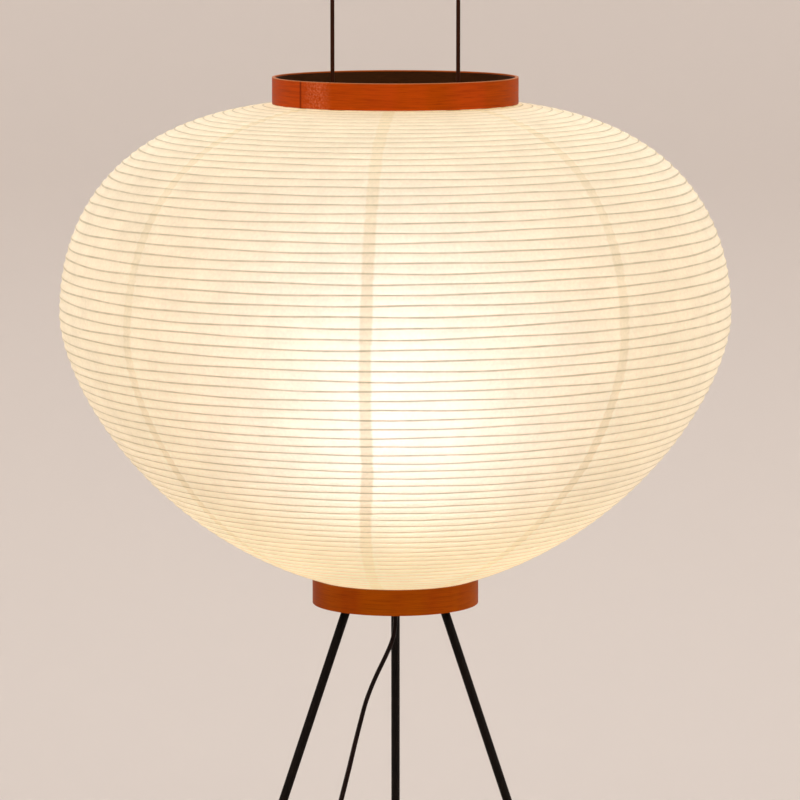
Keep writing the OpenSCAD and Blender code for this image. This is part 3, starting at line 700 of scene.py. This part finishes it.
# Nitrile rubber, moulded: dull and slightly dusty black
MOULDED_RUBBER = Finish(
    "rubber_moulded", "#161514", "#242220", (0.75, 0.88), mark_mm=8, grain_mm=0.6, relief_mm=0.03
)
# Soft PVC, extruded: smooth dark brown-black with a low gloss
EXTRUDED_PVC = Finish(
    "pvc_extruded", "#1a0803", "#100502", (0.4, 0.52), ior=1.53, shine=0.1, mark_mm=30, grain_mm=2.0
)
# ABS, moulded in a spark-eroded tool: an even fine grain of about 0.5 mm
GRAINED_ABS = Finish(
    "abs_moulded_grained", "#141312", "#1b1a19", (0.42, 0.55), ior=1.53, mark_mm=15, grain_mm=0.5,
    relief_mm=0.04,
)
# Nylon hook-and-loop strap, woven: dull black with a visible weave
WOVEN_NYLON = Finish(
    "nylon_woven", "#0f0f10", "#222224", (0.8, 0.95), mark_mm=0.8, grain_mm=0.6, relief_mm=0.15
)
# Urea resin, compression moulded: glossy warm white
MOULDED_UREA = Finish(
    "urea_moulded", "#e4ded0", "#dcd4c3", (0.18, 0.28), ior=1.55, coat=0.2, mark_mm=14, grain_mm=2.5,
    relief_mm=0.01,
)
# Porcelain, pressed and glazed: cool white with a wet gloss
GLAZED_PORCELAIN = Finish(
    "porcelain_glazed", "#ebe8e0", "#e2ddd2", (0.1, 0.2), coat=0.5, mark_mm=10, grain_mm=3.0
)
# Brass sheet, pressed and left bright, slightly tarnished
PRESSED_BRASS = Finish(
    "brass_pressed", "#d9b36a", "#b98f45", (0.22, 0.4), metallic=1.0, mark_mm=5, grain_mm=0.6,
    relief_mm=0.01,
)
# Steel, zinc plated: pale blue-grey with cloudy spangles
ZINC_PLATED = Finish(
    "steel_zinc_plated", "#b9bdc0", "#9da2a6", (0.3, 0.45), metallic=1.0, mark_mm=4, grain_mm=0.7,
    relief_mm=0.01,
)
# The stem's zinc-plated thread, M10 x 1
THREADED_STEM = Threaded(
    "steel_threaded", "#b4b8bb", "#95999c", (0.32, 0.45), metallic=1.0, mark_mm=4, grain_mm=0.7
)
# Nickel plate over brass: warm bright grey, finely drawn
NICKEL_PLATED = Finish(
    "nickel_plated", "#cdc8be", "#b8b2a6", (0.14, 0.26), metallic=1.0, mark_mm=6, grain_mm=0.5,
    relief_mm=0.005,
)
# Soda-lime glass with an opal flash and an etched skin, glowing
OPAL_GLASS = OpalGlass(
    "glass_opal_etched", "#f2ece0", "#ece4d4", (0.35, 0.5), ior=1.52, mark_mm=20, grain_mm=1.0,
    relief_mm=0.005,
)
# Black vitreous insulator of the bulb's foot, fused
FUSED_GLASS = Finish(
    "glass_black_fused", "#0d0d10", "#17161b", (0.08, 0.2), ior=1.52, mark_mm=5, grain_mm=2.0
)
# Polyamide terminal block, moulded: matt cream
MOULDED_NYLON = Finish("polyamide_moulded", "#cfc2a6", "#c4b594", (0.5, 0.62), mark_mm=7, grain_mm=0.6)


def dress(piece: Piece, finish: Finish) -> Piece:
    """Gives a piece its one finish in place of every material it has."""
    piece.data.materials.clear()
    piece.data.materials.append(finish.material())
    return piece


# ---------------- sub-assemblies


@dataclass
class View:
    """The photograph's camera: 4400 pixels of focal length on an 800 pixel frame."""

    place: tuple[float, float, float] = (0.00369, -3.4564, 1.1549)
    pitch: float = 0.1289
    focal_px: float = 4400.0
    frame_px: float = 800.0

    def build(self) -> Piece:
        """Makes the camera, which looks along +Y and down by the pitch."""
        data = bpy.data.cameras.new("camera")
        data.sensor_width = 36.0
        data.lens = self.focal_px / self.frame_px * data.sensor_width
        data.clip_start, data.clip_end = 0.05, 60.0
        made = bpy.data.objects.new("camera", data)
        made.location = self.place
        made.rotation_euler = (pi / 2 - self.pitch, 0, 0)
        bpy.context.scene.collection.objects.link(made)
        bpy.context.scene.camera = made
        return made


@dataclass
class Flex:
    """The twin flex: its free drop, then its way along the floor into the coil and the plug.

    Its section is two round cores side by side, which share a web and leave a groove on each side.
    All lengths but the section's are in millimetres. The drop's flat side turns by the twist on its
    way down; the leads are the straight ends before the coil and in the plug.
    """

    width: float = 5.4 * MM
    thick: float = 3.4 * MM
    web: float = 0.98
    drop: Sequence[Sequence[float]] = (
        (0, 0, 536.9), (0, 0, 530), (-0.4, -1, 524), (-1.4, -2, 518), (-3.4, -3, 511.5),
        (-6.6, -4, 504), (-10.4, -4.5, 496), (-14.7, -5, 487), (-19.4, -5, 476), (-24, -5, 463),
        (-28, -6, 448), (-32, -6, 432), (-37, -7, 411), (-43, -8, 387), (-51, -10, 355), (-58, -12, 320),
        (-65, -14, 280), (-71, -16, 240), (-76, -18, 200), (-80, -19, 160), (-83, -20, 120),
        (-85, -20, 85), (-87, -20, 56), (-91, -20, 33), (-98, -20, 17), (-108, -20, 8), (-119, -20, 5),
        (-130, -20, 5),
    )
    tail: Sequence[Sequence[float]] = (
        (-192, -20, 5), (-202, -20, 4), (-214, -20, 2), (-227, -23, 1.7), (-238, -31, 1.7),
        (-244, -43, 1.7), (-244, -57, 1.7), (-238, -70, 1.7), (-227, -79, 1.7), (-213, -84.9, 1.7),
        (-195, -87.55, 1.7), (-176, -87.55, 1.7), (-156, -87.55, 2), (-142, -87.55, 2.5),
    )
    coil_in_r: float = 21.8
    coil_step: float = 5.9
    coil_turns: float = 3.5
    layer_z: float = 2.6
    layer_h: float = 3.9
    lead_in: float = 6.0
    lead_out: Sequence[float] = (5.4, 12.0, 18.9)
    twist: float = 0.5

    def coil(self, steps: int) -> Points:
        """Works out the coil's line: inwards over the lower layer, then outwards over the upper one.

        Args:
            steps: the number of points to a turn.

        Returns:
            The points, in millimetres, with the straight ends.
        """
        u = np.linspace(0, 2 * self.coil_turns, int(2 * self.coil_turns * steps) + 1)
        r = self.coil_in_r + self.coil_step * np.abs(self.coil_turns - u)
        climb = np.clip((u - self.coil_turns) * 2 + 0.5, 0, 1)
        lift = np.clip((u - 2 * self.coil_turns + 0.75) * 2, 0, 1) * (PLUG_Z - self.layer_z - self.layer_h)
        ease = climb * climb * (3 - 2 * climb)
        turn = pi / 2 - tau * u
        x, y = COIL_CENTRE
        z = self.layer_z + self.layer_h * ease + lift
        line = np.stack([x + r * np.cos(turn), y + r * np.sin(turn), z], -1)
        return np.concatenate([line, [line[-1] + (reach, 0, 0) for reach in self.lead_out]])

    def section(self) -> Points:
        """Gives the outline of the two cores, 9 points to a core, anticlockwise."""
        core = self.thick / 2
        apart = self.width / 2 - core
        turn = np.linspace(-1, 1, 9) * np.arccos(-apart / core) * self.web
        right = np.stack([apart + core * np.cos(turn), core * np.sin(turn)], -1)
        return np.concatenate([right, -right])

    def skin(self, name: str, line: Points, up: Sequence[float], twist: Points) -> Piece:
        """Carries the section along the line.

        The section's width lies square to the way and to up, and is then turned by the twist.

        Args:
            name: the piece's name.
            line: the line's points, in metres.
            up: the direction that the flat side faces.
            twist: the turn at each point, in radians.

        Returns:
            The flex's mesh.
        """
        way = unit(np.gradient(line, axis=0))
        side = unit(np.cross(way, np.asarray(up, float)))
        rise = np.cross(side, way)
        x, y = self.section().T
        c, s = np.cos(twist)[:, None], np.sin(twist)[:, None]
        wide, high = x * c - y * s, x * s + y * c
        rings = line[:, None] + side[:, None] * wide[..., None] + rise[:, None] * high[..., None]
        return mesh_object(name, *tube(rings[:, ::-1]))

    def build(self) -> None:
        drop = flowing(np.array(self.drop, float), 8) * MM
        share = np.linspace(0, 1, len(drop))
        twist = self.twist * np.clip((share - 0.3) / 0.3, 0, 1) * np.clip((0.9 - share) / 0.2, 0, 1)
        first = dress(self.skin("flex_drop", drop, (-1, 0, 0.5), twist), EXTRUDED_PVC)
        whole = self.coil(48)
        start = whole[0] - (self.lead_in, 0, 0)
        tail = flowing(np.concatenate([np.array(self.tail, float), [start, whole[0]]]), 8)[:-1]
        line = np.concatenate([tail, whole]) * MM
        second = dress(self.skin("flex_tail", line, (0, 0, 1), np.zeros(len(line))), EXTRUDED_PVC)
        for piece, nodes in ((first, ["cord_drop"]), (second, ["cord_tail", "cord_coil"])):
            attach(piece, "root")
            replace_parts(piece, *nodes)
        kept = (n for n in frame["nodes"] if n.startswith("switch_") and n != "switch_spring")
        switch = [frame["nodes"][n] for n in kept] + [bpy.data.objects["return_spring"]]
        plug = [bpy.data.objects[n] for n in ("plug_moulding", "coil_strap")]
        plug.append(frame["nodes"]["plug_pins"])


@dataclass
class Plug:
    """The moulded plug with its ribbed strain relief, and the strap round the coil, in millimetres.

    The strap lies at its bearing from the coil's centre. Its span and rise are those of its inner
    faces, and the rise starts at its own thickness.
    """

    x: float = -91.0
    y: float = -87.55
    thick: float = 13.6
    rib: float = 0.35
    rib_pitch: float = 3.1
    sides: int = 56
    strap_at: float = 240.0
    strap_span: tuple[float, float] = (18.8, 45.45)
    strap_rise: tuple[float, float] = (0.8, 8.5)
    strap_corner: float = 1.6
    strap_half: float = 4.0

    def moulding(self) -> Piece:
        """Makes the plug's body and its relief as one surface.

        Each section across X is a superellipse |y/a|^p + |z/b|^p = 1. Along X the half width a and
        half height b grow from the relief's tip, with four ribs, to the body's shoulder, hold a
        waist for the fingers, and close on a flat nose.

        Returns:
            The piece.
        """
        keys = np.array([
            # x, half width, half height, power
            (-20.0, 0.2, 0.2, 2.0), (-20.0, 3.3, 2.9, 2.0), (-19.4, 3.6, 3.3, 2.0), (-1.5, 5.1, 4.9, 2.1),
            (0.4, 7.0, 5.4, 2.3), (2.2, 10.4, 5.9, 2.8), (5.2, 14.2, 6.4, 3.4), (9.0, 16.0, 6.7, 3.8),
            (14.0, 15.6, 6.5, 3.8), (20.0, 15.4, 6.4, 3.8), (25.0, 16.4, 6.7, 4.0), (28.5, 17.0, 6.8, 4.2),
            (31.6, 16.9, 6.75, 4.2), (32.7, 16.2, 6.1, 4.0), (33.0, 14.8, 5.0, 4.0), (33.0, 0.2, 0.2, 4.0),
        ])
        at = np.concatenate([[0, 1], np.linspace(1, 15, 150)[1:-1], [15]])
        x, a, b, p = (np.interp(at, np.arange(len(keys)), keys[:, k]) for k in range(4))
        ribs = np.where((x > -18) & (x < -2.5), self.rib * np.cos(x * tau / self.rib_pitch), 0)
        turn = np.linspace(0, tau, self.sides, endpoint=False)
        c, s = np.cos(turn), np.sin(turn)
        size = (np.abs(c) ** p[:, None] + np.abs(s) ** p[:, None]) ** (-1 / p[:, None])
        y = self.y + (a + ribs)[:, None] * size * c
        z = np.clip(PLUG_Z + (b + ribs)[:, None] * size * s, 0.02, self.thick)
        rings = np.stack([np.repeat(self.x + x[:, None], self.sides, 1), y, z], -1) * MM
        piece = mesh_object("plug_moulding", *tube(rings))
        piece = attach(dress(piece, GRAINED_ABS), "root")
        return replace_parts(piece, "plug_body")

    def strap(self) -> Piece:
        """Makes the strap: a flat band that goes once round both layers of the coil.

        The way round it is a rectangle with rounded corners: at angle a of a corner, the corner's
        centre plus r (cos a, sin a), where r is the corner's radius inside and that plus the band's
        thickness outside. It is turned round the coil's centre to its bearing.

        Returns:
            The piece.
        """
        (low, high), (foot, top) = self.strap_span, self.strap_rise
        corner, half = self.strap_corner, self.strap_half
        corners = np.repeat(np.arange(4), 6)
        a = (corners - 1) * pi / 2 + np.tile(np.linspace(0, pi / 2, 6), 4)
        cx = np.where(corners < 2, high - corner, low + corner)
        cz = np.where((corners == 0) | (corners == 3), foot + corner, top - corner)
        r = corner + np.array([foot, foot, 0.0, 0.0])
        out, across = cx[:, None] + np.cos(a)[:, None] * r, np.array([-half, half, half, -half])
        up = cz[:, None] + np.sin(a)[:, None] * r
        c, s = cos(radians(self.strap_at)), sin(radians(self.strap_at))
        x = COIL_CENTRE[0] + out * c - across * s
        y = COIL_CENTRE[1] + out * s + across * c
        k = len(a)
        i, j = np.meshgrid(np.arange(k), np.arange(4), indexing="ij")
        here, there, beside = i * 4, (i + 1) % k * 4, (j + 1) % 4
        quads = np.stack([here + j, here + beside, there + beside, there + j], -1)
        co = np.stack([x, y, up], -1).reshape(-1, 3) * MM
        piece = dress(mesh_object("coil_strap", co, quads.reshape(-1, 4), smooth=False), WOVEN_NYLON)
        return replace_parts(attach(piece, "root"), "coil_tie")

    def build(self) -> None:
        """Makes the plug and the strap."""
        self.moulding()
        self.strap()
        LOG.info("plug and strap made")


@dataclass
class Switch:
    """The foot switch's return spring, the one piece of it that changes its shape."""

    turns: float = 5.0
    wire_r: float = 0.4 * MM
    keep: float = 0.69

    def build(self) -> None:
        """Winds the spring, whose wire rises evenly with its turn."""
        low, high = (np.array(corner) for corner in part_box("switch_spring"))
        turn = np.linspace(0, tau * self.turns, int(32 * self.turns) + 1)
        radius = (high[0] - low[0]) / 2 - self.wire_r
        middle = (low + high) / 2
        up = np.linspace(low[2] + self.wire_r, high[2] - self.wire_r, len(turn))
        line = np.stack([middle[0] + radius * np.cos(turn), middle[1] + radius * np.sin(turn), up], -1)
        wire = wound(line, turn, self.wire_r, self.wire_r, sides=8)
        piece = dress(mesh_object("return_spring", *wire), ZINC_PLATED)
        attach(piece, "root")
        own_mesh(piece)
        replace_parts(piece, "switch_spring")
        LOG.info("return spring made")


@dataclass
class Shade:
    """The paper skin and the one long rib under it.

    The meridian is two superellipse quarters that meet at the belly. Along it, the paper hangs in
    between the turns of the rib by the sag, so its ridges follow the same spiral as the rib.
    Lengths are in millimetres, and each half has a power for the radius and one for the height.
    """

    foot_z: float = 565.6
    head_z: float = 941.6
    belly_z: float = 775.5
    belly_r: float = 265.0
    foot_r: float = 65.2
    head_r: float = 96.0
    upper: tuple[float, float] = (3.14, 2.16)
    lower: tuple[float, float] = (1.83, 1.6)
    turns: int = 71
    sag: float = 0.8
    wave: float = 0.3
    length: float = 572.0
    fade: float = 0.04
    paper_t: float = 0.4
    rib_r: float = 0.6
    rib_half_w: float = 0.38
    seam: float = pi / 2
    keep: float = 0.24
    table: tuple[Points, Points, Points] = field(init=False)

    def __post_init__(self) -> None:
        """Tabulates arc length, radius and height along the meridian."""
        z = np.linspace(self.foot_z, self.head_z, 4001)
        r = self.radius(z)
        s = np.concatenate([[0], np.cumsum(np.hypot(np.diff(r), np.diff(z)))])
        self.table = (s / s[-1], r, z)

    def radius(self, z: Points) -> Points:
        """Gives the meridian's radius: belly_r (1 - (|z - belly_z| / h)^q)^(1/p), h, p, q by half."""
        out = []
        halves = ((self.head_z, self.head_r, self.upper), (self.foot_z, self.foot_r, self.lower))
        for end_z, end_r, (p, q) in halves:
            h = abs(end_z - self.belly_z) / (1 - (end_r / self.belly_r) ** p) ** (1 / q)
            out.append(self.belly_r * np.clip(1 - (np.abs(z - self.belly_z) / h) ** q, 0, 1) ** (1 / p))
        return np.where(z >= self.belly_z, out[0], out[1])

    def point(self, share: Points, turn: Points, inset: Points) -> Points:
        """Places points on the paper.

        Args:
            share: the share of the way along the meridian, from the foot.
            turn: the angle round the axis, in radians.
            inset: the depth under the meridian, square to it, in millimetres.

        Returns:
            The points, in metres. Slow waves along the meridian stand for the hand winding, and
            fade out at both rings.
        """
        s, r, z = self.table
        fade = np.clip(share / self.fade, 0, 1) * np.clip((1 - share) / self.fade, 0, 1)
        wave = np.sin(3 * turn + 41 * share) + np.sin(7 * turn - 97 * share + 1)
        wave += np.sin(13 * turn + 211 * share + 2)
        share = np.clip(share + fade * wave * self.wave / self.length, 0, 1)
        rr, zz = np.interp(share, s, r), np.interp(share, s, z)
        dr = np.interp(share + 1e-3, s, r) - np.interp(share - 1e-3, s, r)
        dz = np.interp(share + 1e-3, s, z) - np.interp(share - 1e-3, s, z)
        size = np.hypot(dr, dz)
        rr, zz = rr - inset * dz / size, zz + inset * dr / size
        return np.stack([rr * np.cos(turn), rr * np.sin(turn), zz], -1) * MM

    def skin(self, columns: int = 224, rows: int = 6) -> Piece:
        """Makes the paper on a grid whose rows run along the spiral.

        Row i lies at w = i / rows turns from the rib, so share * turns = w + turn / 2 pi, and the
        sag is sag * (0.5 + 0.5 cos 2 pi w)^0.7 between the ridges at each half of w. Rows that run
        past an end of the meridian lie on its edge, and their faces are left out.

        Args:
            columns: steps round the axis.
            rows: steps from one turn of the rib to the next.

        Returns:
            The piece.
        """
        w = np.arange(-9, (self.turns + 0.5) * rows + 1) / rows
        turn = self.seam + np.arange(columns + 1) * tau / columns
        ww, tt = np.meshgrid(w, turn, indexing="ij")
        share = np.clip((ww + tt / tau) / self.turns, 0, 1)
        inset = self.sag * (0.5 + 0.5 * np.cos(tau * ww)) ** 0.7
        co = self.point(share, tt, inset).reshape(-1, 3)
        across = np.broadcast_to(tt / tau, ww.shape).ravel()
        along = (share * self.turns - tt / tau).ravel()
        i, j = np.meshgrid(np.arange(len(w) - 1), np.arange(columns), indexing="ij")
        a = i * (columns + 1) + j
        quads = np.stack([a, a + 1, a + columns + 2, a + columns + 1], -1).reshape(-1, 4)
        tri = np.concatenate([quads[:, [0, 1, 2]], quads[:, [0, 2, 3]]])
        key, merged = np.unique(np.round(co, 7), axis=0, return_inverse=True)
        small = merged.ravel()[tri]
        good = (small != np.roll(small, 1, axis=1)).all(axis=1)
        uv = np.stack([across, along], -1)[tri[good]].reshape(-1, 2)
        piece = dress(mesh_object("paper_shade", key, small[good], uv), MULBERRY_PAPER)
        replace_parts(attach(piece, "root"), "paper_skin")
        return piece

    def rib(self, steps: int = 96) -> Piece:
        """Makes the rib: a split strip, deeper than wide, carried along the spiral under the ridges.

        Args:
            steps: steps to a turn.

        Returns:
            The piece.
        """
        u = np.arange((self.turns - 1) * steps + 1) / steps
        inset = self.paper_t / 2 + self.rib_r + 0.05
        line = self.point((0.5 + u) / self.turns, u * tau, np.full_like(u, inset))
        strip = wound(line, u * tau, self.rib_r * MM, self.rib_half_w * MM)
        piece = dress(mesh_object("bamboo_rib", *strip), SPLIT_BAMBOO)
        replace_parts(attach(piece, "root"), "rib_spiral")
        return piece

    def build(self) -> None:
        """Makes the paper and the rib."""
        for piece in (self.skin(), self.rib()):
            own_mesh(piece)
            LOG.info("%s: %d triangles", piece.name, len(piece.data.polygons))


@dataclass
class Fittings:
    """The pieces whose CAD shape is right, each with its finish."""

    finishes: dict[Finish, tuple[str, ...]] = field(default_factory=lambda: {
        BLACK_ENAMEL: ("hub", "leg_left", "leg_right", "leg_back", "rim_arm_left", "rim_arm_right"),
        WIRE_ENAMEL: ("upright_loop",),
        MOULDED_RUBBER: ("foot_left", "foot_right", "foot_back"),
        ZINC_PLATED: ("loop_nuts", "stem_nuts", "stem_washers", "switch_screws"),
        THREADED_STEM: ("stem_tube",),
        GRAINED_ABS: ("cord_grip", "switch_base", "switch_cover", "switch_button"),
        EXTRUDED_PVC: ("inner_lead",),
        MOULDED_UREA: ("holder_cap", "holder_shell"),
        GLAZED_PORCELAIN: ("holder_insert",),
        PRESSED_BRASS: ("thread_sleeve", "centre_contact", "terminals", "hub_screws", "arm_screws"),
        OPAL_GLASS: ("bulb_glass",),
        NICKEL_PLATED: ("bulb_contact", "plug_pins", "bulb_cap"),
        FUSED_GLASS: ("bulb_insulator",),
        STAINED_BEECH: ("top_ring",),
        STAINED_BEECH_SHADED: ("bottom_ring",),
        DYED_VENEER: ("bottom_lining", "top_lining"),
        MOULDED_NYLON: ("switch_block",),
    })

    def build(self) -> None:
        """Dresses every CAD node that stays."""
        for finish, nodes in self.finishes.items():
            for name in nodes:
                dress(frame["nodes"][name], finish)
        LOG.info("%d CAD nodes dressed", sum(len(n) for n in self.finishes.values()))


@dataclass
class Studio:
    """A pale round bowl of floor and wall, seen only from inside, and large soft lamps."""

    colour: str = "#d8d0ca"
    radius: float = 2.4
    wall: float = 4.0
    sweep: float = 0.7
    lamp_size: float = 1.6
    lamps: tuple[tuple[str, tuple[float, float, float], float], ...] = (
        ("soft_left", (-1.5, -1.6, 2.4), 48.0),
        ("soft_right", (1.9, -1.0, 1.9), 26.0),
        ("soft_back", (0.2, 1.9, 2.6), 32.0),
    )
    aim: tuple[float, float, float] = (0.0, 0.0, 0.65)
    sky: tuple[str, float] = ("#f4f2f0", 0.55)

    def bowl(self) -> Piece:
        """Turns floor, sweep and wall round the axis; seen from behind it is clear."""
        turn = np.linspace(0, pi / 2, 24)
        flat_r = self.radius - self.sweep
        curve = np.stack([flat_r + self.sweep * np.sin(turn), self.sweep - self.sweep * np.cos(turn)], -1)
        flat = np.stack([np.linspace(0.001, flat_r, 12, endpoint=False), np.zeros(12)], -1)
        profile = np.concatenate([flat, curve, [[self.radius, self.wall]]])
        co, quads = lathe(profile, 128)
        made = mesh_object("studio_bowl", co, quads[:, ::-1])
        material = bpy.data.materials.new("studio_paint")
        material.use_nodes = True
        tree = material.node_tree
        tree.nodes.clear()
        # Matt emulsion on a studio cove: even and dull
        matt = {"Base Color": linear(self.colour), "Roughness": 0.95, "Specular IOR Level": 0.1}
        paint = add(tree, "BsdfPrincipled", matt)[0]
        clear = add(tree, "BsdfTransparent")[0]
        behind = add(tree, "NewGeometry")["Backfacing"]
        both = add(tree, "MixShader", {0: behind, 1: paint, 2: clear})[0]
        add(tree, "OutputMaterial", {"Surface": both})
        made.data.materials.append(material)
        return made

    def lamp(self, name: str, place: Sequence[float], power: float) -> None:
        """Makes a square soft lamp that faces the shade's middle.

        Args:
            name: the lamp's name.
            place: where it stands, in metres.
            power: its power in watts.
        """
        data = bpy.data.lights.new(name, "AREA")
        data.size, data.energy = self.lamp_size, power
        made = bpy.data.objects.new(name, data)
        way = Vector(self.aim) - Vector(place)
        made.matrix_world = Matrix.Translation(place) @ way.to_track_quat("-Z", "Y").to_matrix().to_4x4()
        made.visible_camera = False
        bpy.context.scene.collection.objects.link(made)

    def build(self) -> None:
        """Makes the bowl, the lamps and the world, and sets the plain view transform."""
        self.bowl()
        for lamp in self.lamps:
            self.lamp(*lamp)
        world = bpy.data.worlds.new("studio_world")
        bpy.context.scene.world = world
        world.use_nodes = True
        sky = world.node_tree.nodes["Background"]
        code, power = self.sky
        sky.inputs[0].default_value = linear(code)
        sky.inputs[1].default_value = power
        bpy.context.scene.view_settings.view_transform = "Standard"
        LOG.info("studio made")


def main() -> None:
    """Builds the camera, the cords, the rest of the lamp and the studio, in that order."""
    logging.basicConfig(level=logging.INFO, format="%(name)s: %(message)s")
    View().build()
    Plug().build()
    Switch().build()
    Flex().build()
    Shade().build()
    Fittings().build()
    Studio().build()


if __name__ == "__main__":
    main()
